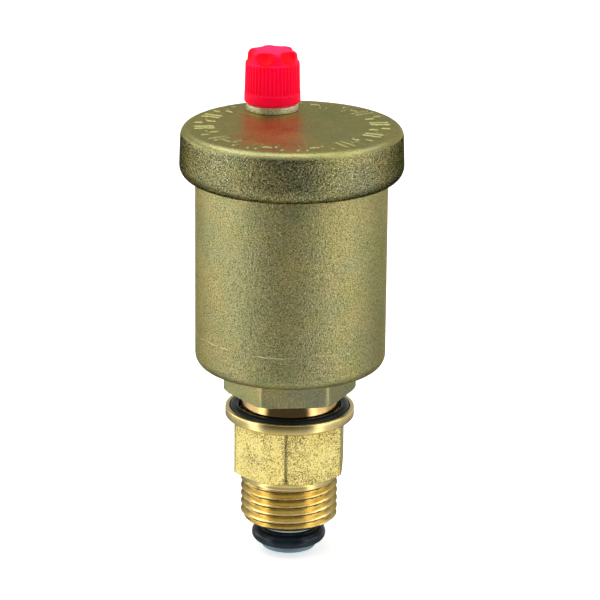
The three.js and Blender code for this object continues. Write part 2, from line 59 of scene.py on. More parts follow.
NOZZLE_AXIS = (-4.3271, 14.1533)
SCOOPS, FIRST_SCOOP = 6, -106.0  # round the cap's head, with one facing 16 degrees left of the front
SCOOP_RING, SCOOP_Z, SCOOP_RADIUS = 6.3, 90.0, 2.55  # each scoop is part of a sphere
SCORED = 32.3  # height of the broken line round the casing


# ---------------------------------------------------------------- profiles
def rounded(points, closed):
    """Profile of (r, z, edge radius) points with an arc at each corner. Returns an array of (r, z)."""
    points = [(p[0], p[1], p[2] if len(p) > 2 else EDGE) for p in points]
    out = []
    count = len(points)
    for i, (r, z, radius) in enumerate(points):
        here = np.array([r, z], float)
        if not closed and i in (0, count - 1):
            out.append(here)
            continue
        before = np.array(points[i - 1][:2], float) - here
        after = np.array(points[(i + 1) % count][:2], float) - here
        len_before, len_after = np.linalg.norm(before), np.linalg.norm(after)
        u, v = before / len_before, after / len_after
        half = math.acos(max(-1.0, min(1.0, float(u @ v)))) / 2
        if radius <= 0 or half > FLAT_CORNER:
            out.append(here)
            continue
        share_before = ARC_SHARE * radius / (radius + points[i - 1][2])
        share_after = ARC_SHARE * radius / (radius + points[(i + 1) % count][2])
        run = min(radius / math.tan(half), share_before * len_before, share_after * len_after)
        arc_radius = run * math.tan(half)
        middle = (u + v) / np.linalg.norm(u + v)
        centre = here + middle * (arc_radius / math.sin(half))
        first, last = here + u * run - centre, here + v * run - centre
        turn = math.atan2(first[0] * last[1] - first[1] * last[0], float(first @ last))
        steps = 3 if radius < 1 else 9  # a small arc, a large arc
        for k in range(steps + 1):
            cosine, sine = math.cos(turn * k / steps), math.sin(turn * k / steps)
            turned = [cosine * first[0] - sine * first[1], sine * first[0] + cosine * first[1]]
            out.append(centre + np.array(turned))
    return np.array(out)


def refined(profile, closed, zones):
    """Profile with its long steps split.
    zones are (lowest r, highest r, lowest z, highest z, longest step)."""
    out = []
    count = len(profile)
    for i in range(count if closed else count - 1):
        a, b = profile[i], profile[(i + 1) % count]
        parts = 1
        for r0, r1, z0, z1, step in zones:
            inside = all(r0 <= p[0] <= r1 and z0 <= p[1] <= z1 for p in (a, b))
            if inside:
                parts = max(parts, math.ceil(np.linalg.norm(b - a) / step))
        out.extend(a + (b - a) * k / parts for k in range(parts))
    if not closed:
        out.append(profile[-1])
    return np.array(out)


# ---------------------------------------------------------------- meshes
def signed_volume(verts, faces):
    """A number that is negative where the faces of a closed mesh point inwards."""
    total = 0.0
    for f in faces:
        a, b, c = verts[f[:, 0]], verts[f[:, 1]], verts[f[:, 2]]
        total += np.einsum("ij,ij->i", a, np.cross(b, c)).sum()
        if f.shape[1] == 4:
            d = verts[f[:, 3]]
            total += np.einsum("ij,ij->i", a, np.cross(c, d)).sum()
    return total


def build(name, verts, faces, materials, body, nodes, which=None, sharp=32):
    """A piece from verts in millimetres and arrays of faces. which gives each face's material."""
    verts = np.asarray(verts, float)
    faces = [np.asarray(f, int) for f in faces if len(f)]
    if signed_volume(verts, faces) < 0:
        faces = [f[:, ::-1] for f in faces]
    mesh = bpy.data.meshes.new(name)
    mesh.from_pydata((verts * MM).tolist(), [], [row for f in faces for row in f.tolist()])
    for m in materials:
        mesh.materials.append(m)
    if which is not None:
        mesh.polygons.foreach_set("material_index", np.asarray(which, np.int32))
    mesh.validate()
    mesh.shade_smooth()
    mesh.set_sharp_from_angle(angle=math.radians(sharp))
    piece = bpy.data.objects.new(name, mesh)
    bpy.context.scene.collection.objects.link(piece)
    if body:
        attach(piece, body)
    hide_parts(*nodes)
    return piece


def wrapped(rows, columns, closed_rows):
    """Quads of a grid whose columns close on themselves, and its rows too where closed_rows is true."""
    i = np.arange(rows if closed_rows else rows - 1)[:, None]
    j = np.arange(columns)[None, :]
    i2, j2 = (i + 1) % rows, (j + 1) % columns
    quads = np.stack([i * columns + j, i * columns + j2, i2 * columns + j2, i2 * columns + j], -1)
    return quads.reshape(-1, 4)


def spun(profile, columns, shape=None, poles=True, centre=(0.0, 0.0)):
    """Verts, faces and each face's row for a profile turned round a vertical axis.
    shape(r, z, angle) returns the changed r and z. With poles the profile starts and ends on the axis."""
    angle = np.arange(columns) * 2 * math.pi / columns
    r = np.repeat(profile[:, :1], columns, 1)
    z = np.repeat(profile[:, 1:2], columns, 1)
    if shape:
        r, z = shape(r, z, angle[None, :])
    grid = np.stack([centre[0] + r * np.cos(angle), centre[1] + r * np.sin(angle), z], -1)
    rows = len(profile)
    if not poles:
        return grid.reshape(-1, 3), [wrapped(rows, columns, True)], np.repeat(np.arange(rows), columns)
    inner = grid[1:-1].reshape(-1, 3)
    quads = wrapped(rows - 2, columns, False)
    ends = np.array([[*centre, profile[0, 1]], [*centre, profile[-1, 1]]])
    verts = np.concatenate([inner, ends])
    j = np.arange(columns)
    j2 = (j + 1) % columns
    low, high = len(inner), len(inner) + 1
    first = np.stack([j2, j, np.full(columns, low)], -1)
    top = (rows - 3) * columns
    last = np.stack([top + j, top + j2, np.full(columns, high)], -1)
    row_of = np.repeat([*range(1, rows - 2), 0, rows - 2], columns)
    return verts, [quads, first, last], row_of


def swept(path, ring):
    """Verts and faces of a ring of (across, up) points carried along a path of points, with capped ends."""
    path = np.asarray(path, float)
    count = len(path)
    ahead = np.roll(path, -1, 0) - np.roll(path, 1, 0)
    ahead[0], ahead[-1] = path[1] - path[0], path[-1] - path[-2]
    ahead /= np.linalg.norm(ahead, axis=1, keepdims=True)
    up = np.tile([0.0, 0.0, 1.0], (count, 1))
    across = np.cross(ahead, up)
    across /= np.linalg.norm(across, axis=1, keepdims=True)
    up = np.cross(across, ahead)
    ring = np.asarray(ring, float)
    verts = path[:, None] + across[:, None] * ring[None, :, :1] + up[:, None] * ring[None, :, 1:]
    sides = len(ring)
    first_cap = np.arange(sides)[None, ::-1]
    last_cap = (count - 1) * sides + np.arange(sides)[None, :]
    return verts.reshape(-1, 3), [wrapped(count, sides, False), first_cap, last_cap]


def circle(radius, sides):
    angle = np.arange(sides) * 2 * math.pi / sides
    return np.stack([radius * np.cos(angle), radius * np.sin(angle)], -1)


# ---------------------------------------------------------------- surfaces that vary with the angle
def screw_depth(z, angle, pitch, depth):
    """How far a right-handed thread lies below its crest, with rounded crests and roots."""
    wave = np.cos(2 * math.pi * (z / pitch) - angle)
    return depth * (0.5 + 0.5 * np.arcsin(0.88 * wave) / math.asin(0.88))


def hexagon_radius(angle, hexagon):
    """Radius of a hexagon with softened corners.
    hexagon is (width across flats, degrees at one corner, sharpness of the corners)."""
    across_flats, corner_degrees, sharpness = hexagon
    total = 0.0
    for k in range(6):
        facing = np.cos(angle - math.radians(corner_degrees + 30 + 60 * k))
        total = total + np.maximum(facing, 0.0) ** sharpness
    return across_flats / 2 * total ** (-1 / sharpness)


def soft_min(a, b, soft):
    """The smaller of two lengths, blended over about soft."""
    share = np.clip(0.5 + 0.5 * (b - a) / soft, 0, 1)
    return b * (1 - share) + a * share - soft * share * (1 - share)


def bump_step(value, low, high):
    """0 below low, 1 above high, smooth between."""
    t = np.clip((value - low) / (high - low), 0, 1)
    return t * t * (3 - 2 * t)


# ---------------------------------------------------------------- materials
def node_maker(owner):
    """A function that adds a node to the owner's tree. Its values are sockets to link or numbers to set."""
    tree = owner.node_tree

    def make(kind, values=None, **settings):
        node = tree.nodes.new(kind)
        for key, value in settings.items():
            setattr(node, key, value)
        for key, value in (values or {}).items():
            if isinstance(value, bpy.types.NodeSocket):
                tree.links.new(value, node.inputs[key])
            else:
                node.inputs[key].default_value = value
        return node

    return make


def new_material(name):
    material = bpy.data.materials.new(name)
    material.use_nodes = True
    shader = material.node_tree.nodes["Principled BSDF"]
    make = node_maker(material)
    place = make("ShaderNodeTexCoord").outputs["Object"]
    return material, shader, make, place


def stepped(make, value, low, high, to_low=0.0, to_high=1.0):
    """value from low..high carried to to_low..to_high, clamped."""
    values = {"Value": value, "From Min": low, "From Max": high, "To Min": to_low, "To Max": to_high}
    return make("ShaderNodeMapRange", values, clamp=True).outputs["Result"]


def mixed(make, factor, a, b, blend="MIX"):
    node = make("ShaderNodeMix", data_type="RGBA", blend_type=blend)
    tree = node.id_data
    for key, value in ((0, factor), (6, a), (7, b)):
        if isinstance(value, bpy.types.NodeSocket):
            tree.links.new(value, node.inputs[key])
        else:
            node.inputs[key].default_value = value
    return node.outputs[2]


def noise(make, place, scale, detail=3.0, rough=0.55, distortion=0.0):
    values = {"Vector": place, "Scale": scale, "Detail": detail, "Roughness": rough, "Distortion": distortion}
    return make("ShaderNodeTexNoise", values).outputs["Fac"]


def math_node(make, operation, a, b=0.0, c=0.0):
    return make("ShaderNodeMath", {0: a, 1: b, 2: c}, operation=operation).outputs[0]


def components(make, vector):
    """A vector's X, Y and Z."""
    return make("ShaderNodeSeparateXYZ", {"Vector": vector}).outputs


def at_surface(make, what):
    """The Normal or Pointiness of the surface."""
    return make("ShaderNodeNewGeometry").outputs[what]


def from_axis(make, place, axis):
    """X, Y and distance of a place from a vertical axis, whose own x and y are in millimetres."""
    split = components(make, place)
    x = math_node(make, "SUBTRACT", split["X"], axis[0] * MM)
    y = math_node(make, "SUBTRACT", split["Y"], axis[1] * MM)
    squares = math_node(make, "ADD", math_node(make, "MULTIPLY", x, x), math_node(make, "MULTIPLY", y, y))
    return x, y, math_node(make, "SQRT", squares)


def finish_surface(material, shader, color, roughness, metallic, bumps, make):
    """Puts the colour, roughness and a chain of (height, strength, distance) bumps on the shader."""
    tree = material.node_tree
    for key, value in (("Base Color", color), ("Roughness", roughness), ("Metallic", metallic)):
        if isinstance(value, bpy.types.NodeSocket):
            tree.links.new(value, shader.inputs[key])
        else:
            shader.inputs[key].default_value = value
    normal = None
    for height, strength, distance in bumps:
        values = {"Height": height, "Strength": strength, "Distance": distance}
        if normal:
            values["Normal"] = normal
        normal = make("ShaderNodeBump", values).outputs["Normal"]
    if normal:
        tree.links.new(normal, shader.inputs["Normal"])
    return material


def blasted_brass(name, base, dark, light, grain_mm, strength, roughness, patch=0.5, glint=0.85, scored=None,
                  grazing=(0.86, 0.82, 0.55, 1)):
    """Forged brass that was blasted with grit: speckled, matt, stained in cool and warm patches, worn bright
    on its edges. scored is the height of a fine broken line scored round a straight wall."""
    material, shader, make, place = new_material(name)
    grain = noise(make, place, 1000 / grain_mm, 2.0, 0.65)
    fine = noise(make, place, 2300 / grain_mm, 2.0, 0.5)
    cloud = noise(make, place, 85, 5.0, 0.62)
    stain = noise(make, place, 150, 4.0, 0.6, 0.6)
    pits = make("ShaderNodeTexVoronoi", {"Vector": place, "Scale": 620 / grain_mm}).outputs["Distance"]
    color = mixed(make, stepped(make, grain, 0.36, 0.58), dark, base)
    color = mixed(make, stepped(make, fine, 0.53, 0.64, 0.0, glint), color, light)
    warm = mixed(make, stepped(make, cloud, 0.40, 0.60), (0.80, 0.90, 0.98, 1), (1.14, 1.06, 0.84, 1))
    color = mixed(make, patch, color, mixed(make, 1.0, color, warm, "MULTIPLY"))
    green = mixed(make, stepped(make, stain, 0.45, 0.66), (1.0, 1.0, 1.0, 1), (0.84, 0.98, 0.78, 1))
    color = mixed(make, patch, color, mixed(make, 1.0, color, green, "MULTIPLY"))
    worn = stepped(make, at_surface(make, "Pointiness"), 0.53, 0.60, 0.0, 0.6)
    if scored is not None:  # a straight wall has no edge to wear
        tilt = math_node(make, "ABSOLUTE", components(make, at_surface(make, "Normal"))["Z"])
        worn = math_node(make, "MULTIPLY", worn, stepped(make, tilt, 0.1, 0.25))
    color = mixed(make, worn, color, light)
    if scored is not None:
        wander = stepped(make, noise(make, place, 70, 2.0), 0.3, 0.7, -0.5 * MM, 0.5 * MM)
        up = math_node(make, "ADD", components(make, place)["Z"], wander)
        away = math_node(make, "ABSOLUTE", math_node(make, "SUBTRACT", up, scored * MM))
        line = stepped(make, away, 0.05 * MM, 0.16 * MM, 1.0, 0.0)
        broken = stepped(make, noise(make, place, 190, 3.0, 0.7), 0.45, 0.56, 0.0, 0.7)
        color = mixed(make, math_node(make, "MULTIPLY", line, broken), color, light)
    rough = stepped(make, cloud, 0.3, 0.7, roughness - 0.04, roughness + 0.05)
    rough = math_node(make, "ADD", rough, stepped(make, fine, 0.3, 0.7, -0.07, 0.07))
    height = math_node(make, "MULTIPLY_ADD", pits, 0.45, grain)
    bumps = [(cloud, 0.25, 0.0004), (height, strength, 0.00016), (fine, strength * 0.8, 0.00007)]
    shader.inputs["Specular Tint"].default_value = grazing
    return finish_surface(material, shader, color, rough, 1.0, bumps, make)


def turned_metal(name, base, dark, roughness, groove_mm, groove_strength, axis=(0.0, 0.0), speckle=0.0,
                 metallic=1.0, grazing=(1.0, 1.0, 1.0, 1)):
    """Metal with the fine rings a lathe leaves, stains and, where asked, brown specks, crowded more from 8.5
    mm up as painted shade under the valve's flange.
    """
    material, shader, make, place = new_material(name)
    radius = from_axis(make, place, axis)[2]
    up = components(make, place)["Z"]
    along = make("ShaderNodeCombineXYZ", {"X": radius, "Y": up, "Z": 0.0}).outputs[0]
    rings = noise(make, along, 1000 / groove_mm, 3.0, 0.6)
    cloud = noise(make, place, 160, 4.0, 0.6)
    fine = noise(make, place, 2600, 2.0, 0.5)
    color = mixed(make, stepped(make, cloud, 0.35, 0.68), dark, base)
    if speckle:
        spots = noise(make, place, 3900, 2.0, 0.7)
        crowd = stepped(make, noise(make, place, 260, 3.0, 0.6), 0.40, 0.62, 0.555, 0.48)
        # Painted shade: more dark specks towards the flange, from 8.5 mm up and in full above 12.3 mm.
        painted_flange_shade = stepped(make, up, 8.5 * MM, 12.3 * MM, 0.0, 0.035)
        over = math_node(make, "ADD", math_node(make, "SUBTRACT", spots, crowd), painted_flange_shade)
        color = mixed(make, stepped(make, over, 0.0, 0.05, 0.0, speckle), color, (0.09, 0.045, 0.010, 1))
    rough = math_node(make, "ADD", stepped(make, cloud, 0.3, 0.7, roughness - 0.03, roughness + 0.06),
                      stepped(make, rings, 0.3, 0.7, -0.04, 0.05))
    bumps = [(rings, groove_strength, 0.00004), (fine, 0.12, 0.00003)]
    shader.inputs["Specular Tint"].default_value = grazing
    return finish_surface(material, shader, color, rough, metallic, bumps, make)


def in_scoops(make, place):
    """1 inside the scoops of the cap's head, 0 outside."""
    x, y, radius = from_axis(make, place, NOZZLE_AXIS)
    turn = math_node(make, "SUBTRACT", math_node(make, "ARCTAN2", y, x), math.radians(FIRST_SCOOP))
    turn = math_node(make, "WRAP", turn, math.pi / SCOOPS, -math.pi / SCOOPS)
    across = math_node(make, "MULTIPLY", radius, math_node(make, "SINE", turn))
    out = math_node(make, "MULTIPLY", radius, math_node(make, "COSINE", turn))
    out = math_node(make, "SUBTRACT", out, SCOOP_RING * MM)
    high = math_node(make, "SUBTRACT", components(make, place)["Z"], (SCOOP_Z - 0.2) * MM)
    offset = make("ShaderNodeCombineXYZ", {"X": across, "Y": out, "Z": high}).outputs[0]
    away = make("ShaderNodeVectorMath", {0: offset}, operation="LENGTH").outputs["Value"]
    return stepped(make, away, (SCOOP_RADIUS - 0.1) * MM, (SCOOP_RADIUS + 0.5) * MM, 1.0, 0.0)


def plastic(name, base, deep, painted_top_light, roughness, painted_glow=0.0, painted_groove_shade=None, painted_scoop_shade=None):
    """Moulded plastic with a faint orange-peel skin, uneven colour, a paler colour painted on what faces up
    as painted light from above and, where asked, a darker colour in its grooves as painted shade, an emission
    that is painted light, as for a fluorescent pigment, and a deeper colour in the cap's scoops as painted
    shade."""
    material, shader, make, place = new_material(name)
    cloud = noise(make, place, 220, 3.0, 0.6)
    peel = noise(make, place, 900, 3.0, 0.5)
    color = mixed(make, stepped(make, cloud, 0.35, 0.65), deep, base)
    up = components(make, at_surface(make, "Normal"))["Z"]
    # Painted light: what faces up is mixed towards a paler colour, as if lit from above.
    color = mixed(make, stepped(make, up, 0.25, 0.95), color, painted_top_light)
    # Painted shade: where asked, the grooves, found by low pointiness, are painted darker.
    if painted_groove_shade:
        groove_shade_mask = stepped(make, at_surface(make, "Pointiness"), 0.40, 0.49, 0.85, 0.0)
        color = mixed(make, groove_shade_mask, color, painted_groove_shade)
    # Painted shade: where asked, the cap's scoops are painted a deeper red, without the paler top.
    if painted_scoop_shade:
        color = mixed(make, in_scoops(make, place), color, painted_scoop_shade)
    rough = stepped(make, peel, 0.3, 0.7, roughness - 0.05, roughness + 0.07)
    # Painted light: where asked, the plastic gives out light as emission, whatever lights it.
    if painted_glow:
        material.node_tree.links.new(color, shader.inputs["Emission Color"])
        shader.inputs["Emission Strength"].default_value = painted_glow
        shader.inputs["Specular IOR Level"].default_value = 0.1
    bumps = [(peel, 0.12, 0.00005), (cloud, 0.1, 0.0002)]
    return finish_surface(material, shader, color, rough, 0.0, bumps, make)


def rubber(name):
    """Black rubber with a little bloom and dust."""
    material, shader, make, place = new_material(name)
    cloud = noise(make, place, 300, 4.0, 0.65)
    dust = noise(make, place, 3000, 3.0, 0.6)
    color = mixed(make, stepped(make, cloud, 0.35, 0.7), (0.005, 0.010, 0.015, 1), (0.010, 0.020, 0.030, 1))
    color = mixed(make, stepped(make, dust, 0.64, 0.78, 0.0, 0.25), color, (0.06, 0.08, 0.09, 1))
    rough = stepped(make, cloud, 0.3, 0.7, 0.18, 0.28)
    shader.inputs["Specular IOR Level"].default_value = 0.22
    return finish_surface(material, shader, color, rough, 0.0, [(dust, 0.15, 0.00003)], make)


LIGHT_BRASS = (0.98, 0.90, 0.50, 1)
cast_brass = blasted_brass(
    "cast_brass", (0.50, 0.45, 0.20, 1), (0.13, 0.12, 0.055, 1), LIGHT_BRASS, 0.30, 0.8, 0.38, scored=SCORED)
lid_brass = blasted_brass(
    "lid_brass", (0.27, 0.25, 0.115, 1), (0.05, 0.047, 0.027, 1), LIGHT_BRASS, 0.38, 0.88, 0.25, patch=0.6,
    grazing=(0.04, 0.05, 0.04, 1))
cover_brass = blasted_brass(
    "cover_brass", (0.455, 0.43, 0.20, 1), (0.295, 0.285, 0.13, 1), (0.66, 0.62, 0.31, 1), 0.36, 0.42, 0.35,
    glint=0.6)
milled_brass = blasted_brass(
    "milled_brass", (0.52, 0.49, 0.27, 1), (0.28, 0.26, 0.14, 1), (0.86, 0.80, 0.48, 1), 0.27, 0.55, 0.36,
    patch=0.8)
hex_brass = turned_metal(
    "hex_brass", (0.92, 0.80, 0.31, 1), (0.82, 0.68, 0.23, 1), 0.36, 0.30, 0.25, speckle=0.85)
flange_brass = turned_metal("flange_brass", (0.98, 0.82, 0.38, 1), (0.90, 0.72, 0.29, 1), 0.22, 0.10, 0.3)
thread_brass = turned_metal(
    "thread_brass", (0.98, 0.79, 0.36, 1), (0.88, 0.68, 0.27, 1), 0.25, 0.12, 0.06,
    grazing=(0.05, 0.04, 0.02, 1))
neck_brass = turned_metal("neck_brass", (0.74, 0.53, 0.23, 1), (0.58, 0.39, 0.14, 1), 0.13, 0.15, 0.3)
nozzle_brass = turned_metal(
    "nozzle_brass", (1.0, 0.95, 0.72, 1), (0.84, 0.77, 0.50, 1), 0.36, 0.15, 0.30, NOZZLE_AXIS,
    speckle=0.4, metallic=0.4)
steel = turned_metal("bright_steel", (0.62, 0.63, 0.64, 1), (0.45, 0.46, 0.47, 1), 0.26, 0.10, 0.15)
# Painted light: the third colour of each plastic is painted on what faces up. The red's colours for its
# grooves and scoops are painted shade, and its emission is painted light.
red_plastic = plastic(
    "red_plastic", (0.95, 0.0006, 0.042, 1), (0.92, 0.0006, 0.030, 1), (0.93, 0.012, 0.11, 1), 0.5, painted_glow=0.34,
    painted_groove_shade=(0.66, 0.001, 0.020, 1), painted_scoop_shade=(0.86, 0.0, 0.010, 1))
grey_plastic = plastic(
    "grey_plastic", (0.17, 0.28, 0.31, 1), (0.12, 0.21, 0.24, 1), (0.26, 0.34, 0.36, 1), 0.38)
# Painted light: a paler grey with emission for the plunger spool's top disc, which lies in shade under the
# pipe thread.
painted_lit_lip_plastic = plastic(
    "painted_lit_lip_plastic", (0.50, 0.55, 0.54, 1), (0.42, 0.47, 0.46, 1), (0.58, 0.60, 0.56, 1), 0.45, painted_glow=0.10)
white_plastic = plastic(
    "white_plastic", (0.78, 0.77, 0.72, 1), (0.70, 0.69, 0.63, 1), (0.80, 0.79, 0.75, 1), 0.40)
black_rubber = rubber("black_rubber")


# ---------------------------------------------------------------- check valve
# Threads on the outside of a piece: radius at the crests, pitch and depth.
INLET_CREST, INLET_PITCH, INLET_DEPTH = 10.47, 1.814, 1.1
SPIGOT_CREST, SPIGOT_PITCH, SPIGOT_DEPTH = 8.33, 1.337, 0.85
COVER_CREST, COVER_PITCH, COVER_DEPTH = 20.1, 2.0, 1.0
CAP_CREST, CAP_PITCH, CAP_DEPTH = 4.15, 1.25, 0.7
FIT = 0.3  # how much larger the radius of the matching thread inside a piece is
COLLAR_LOW = -1.1  # the pipe thread starts below it
HEX_TOP = 12.29
# Width across flats, degrees at one corner, sharpness of the corners.
VALVE_HEXAGON, CASING_HEXAGON = (23.0, -93.0, 115), (25.0, -55.0, 60)


def check_valve():
    outline = [
        (8.9, -11.05, 0.15), (INLET_CREST, -9.8, 0), (INLET_CREST, COLLAR_LOW, 0), (INLET_CREST, -0.3, 0),
        (10.6, 0.0, 0), (10.9, 0.02, 0), (13.4, 1.5, 0), (13.4, HEX_TOP, 0), (13.15, 12.3, 0),  # hexagon
        (13.9, 12.95, 0.25), (13.9, 14.9, 0.3), (13.0, 14.9, 0.15), (13.0, 13.3, 0.3),  # flange
        (10.95, 13.3, 0.15), (10.95, 12.0, 0.1), (8.63, 12.0, 0.1), (8.63, 1.75, 0), (7.3, 1.7, 0.1),  # bore
        (7.3, -7.1, 0.15), (5.2, -7.1, 0.15), (5.2, -8.2, 0.15), (7.5, -8.2, 0.15), (7.5, -9.9, 0.1),
        (8.5, -11.05, 0.1),
    ]
    zones = [(8.7, 10.5, -11.3, COLLAR_LOW, 0.075), (10.4, 10.5, -1.2, 0, 0.2), (10.85, 13.45, 0, 1.55, 0.07),
             (13.3, 13.5, 1.4, 12.3, 0.5), (8.6, 8.7, 1.7, 12.0, 0.14)]
    profile = refined(rounded(outline, True), True, zones)

    def shape(r, z, angle):
        deep = 1 - bump_step(z, COLLAR_LOW - 0.35, COLLAR_LOW)
        thread = INLET_CREST - screw_depth(z, angle, INLET_PITCH, INLET_DEPTH) * deep
        r = np.where((r > 8.75) & (z < COLLAR_LOW), np.minimum(r, thread), r)
        flats = hexagon_radius(angle, VALVE_HEXAGON)
        r = np.where((r > 10.8) & (z > 0) & (z <= HEX_TOP), soft_min(r, flats, 0.04), r)
        inner = SPIGOT_CREST + FIT - screw_depth(z, angle, SPIGOT_PITCH, SPIGOT_DEPTH)
        return np.where((r > 8.5) & (r < 8.7) & (z > 1.8) & (z < 11.9), inner, r), z

    verts, faces, row = spun(profile, 240, shape, poles=False)
    middle = ((profile + np.roll(profile, -1, 0)) / 2)[row]
    centre = verts[faces[0]].mean(1)
    radius, angle = np.hypot(centre[:, 0], centre[:, 1]), np.arctan2(centre[:, 1], centre[:, 0])
    on_flat = radius > hexagon_radius(angle, VALVE_HEXAGON) - 0.07
    drawn = (middle[:, 0] > 10.85) & (middle[:, 1] > 0) & (middle[:, 1] < HEX_TOP) & on_flat
    threaded = ((middle[:, 1] < COLLAR_LOW) & (middle[:, 1] > -10.1)) | (middle[:, 0] < 8.8)
    build("check_valve_housing", verts, faces, [hex_brass, thread_brass, flange_brass], "shutoff_valve",
          ["check_valve_body"], np.where(drawn, 0, np.where(threaded, 1, 2)), sharp=40)


def ring_seal(name, radius, wire, z, body, node):
    """O-ring at height z. radius is that of its middle line, and wire that of its round section."""
    profile = circle(wire, 24) + np.array([radius, z])
    verts, faces, _ = spun(profile, 160, poles=False)
    build(name, verts, faces, [black_rubber], body, [node])


def merged(parts):
    """Verts and faces of several solids in one mesh. Each part is (verts, list of face arrays)."""
    verts, faces, start = [], [], 0
    for part_verts, part_faces in parts:
        part_faces = [np.asarray(f, int) for f in part_faces]
        if signed_volume(np.asarray(part_verts, float), part_faces) < 0:
            part_faces = [f[:, ::-1] for f in part_faces]
        verts.append(part_verts)
        faces.extend(f + start for f in part_faces)
        start += len(part_verts)
    return np.concatenate(verts), faces


def slab(outline, low, high, edge):
    """Verts and faces of a convex outline of (x, y), anticlockwise, raised from low to high.
    Its edges are taken off by edge."""
    outline = np.asarray(outline, float)
    ahead = np.roll(outline, -1, 0) - outline
    ahead /= np.linalg.norm(ahead, axis=1, keepdims=True)
    inward = np.stack([-ahead[:, 1], ahead[:, 0]], -1)
    corner = inward + np.roll(inward, 1, 0)
    corner /= np.maximum(np.sum(corner * inward, 1, keepdims=True), 0.3)
    small = outline + corner * edge
    layers = [(small, low), (outline, low + edge), (outline, high - edge), (small, high)]
    verts = np.concatenate([np.column_stack([points, np.full(len(points), z)]) for points, z in layers])
    count = len(outline)
    faces = [wrapped(4, count, False), np.arange(count)[None, ::-1], 3 * count + np.arange(count)[None, :]]
    return verts, faces


def placed(part, matrix):
    """A part, (verts, faces), moved by a 4 by 4 matrix."""
    verts = np.asarray(part[0], float)
    m = np.array(matrix)
    return verts @ m[:3, :3].T + m[:3, 3], part[1]


def upright(part, turn):
    """A slab drawn in (y, z) with its thickness along x, then turned about the vertical axis."""
    stand = Matrix(((0, 0, 1, 0), (1, 0, 0, 0), (0, 1, 0, 0), (0, 0, 0, 1)))
    return placed(part, Matrix.Rotation(math.radians(turn), 4, "Z") @ stand)


def rectangle(x0, x1, y0, y1):
    return [(x0, y0), (x1, y0), (x1, y1), (x0, y1)]


def check_plunger():
    outline = [
        (0, -17.45), (5.95, -17.45, 0.5), (5.9, -16.13, 0.2), (4.74, -16.13, 0.1), (4.74, -12.67, 0.1),
        (6.0, -12.67, 0.2), (6.0, -11.6, 0.3), (0, -11.6),
    ]
    spool = rounded(outline, False)
    fin = slab(rectangle(-4.7, 4.7, -11.7, 2.9), -0.7, 0.7, 0.15)
    stem = rounded([(0, -11.7), (1.5, -11.7), (1.5, 4.6, 0.3), (0, 4.6)], False)
    verts, faces = merged([spun(spool, 120)[:2], upright(fin, 0), upright(fin, 90), spun(stem, 40)[:2]])
    height = np.concatenate([verts[f].mean(1)[:, 2] for f in faces])
    # Painted light: the faces of the spool's top disc take the paler plastic with emission.
    painted_lit_lip = (height > -12.6) & (height < -11.65)
    build("check_plunger_spool", verts, faces, [grey_plastic, painted_lit_lip_plastic], "check", ["check_plunger"],
          painted_lit_lip.astype(int))


def spring_retainer():
    rim = rounded([(5.25, 3.0, 0.2), (6.85, 3.0, 0.2), (6.85, 4.9, 0.2), (5.25, 4.9, 0.2)], True)
    hub = rounded([(1.6, 3.0, 0.1), (2.6, 3.0, 0.1), (2.6, 4.3, 0.2), (1.6, 4.3, 0.1)], True)
    parts = [spun(rim, 96, poles=False)[:2], spun(hub, 48, poles=False)[:2]]
    for turn in (0, 120, 240):
        spoke = slab(rectangle(2.2, 5.65, -0.6, 0.6), 3.0, 4.3, 0.15)
        parts.append(placed(spoke, Matrix.Rotation(math.radians(turn), 4, "Z")))
    verts, faces = merged(parts)
    build("plunger_spring_retainer", verts, faces, [grey_plastic], "check", ["spring_retainer"])


def spring(name, radius, wire, turns, low, high, node):
    """Coil with its first and last turns wound close."""
    turned = np.linspace(0, 1, int(turns * 40) + 1) * turns
    tall = high - low
    rise = np.interp(turned, [0, 0.8, turns - 0.8, turns], [0, 2 * wire, tall - 4 * wire, tall - 2 * wire])
    angle = 2 * math.pi * turned
    path = np.stack([radius * np.cos(angle), radius * np.sin(angle), low + wire + rise], -1)
    verts, faces = swept(path, circle(wire, 12))
    piece = build(name, verts, faces, [steel], None, [node])
    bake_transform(piece)


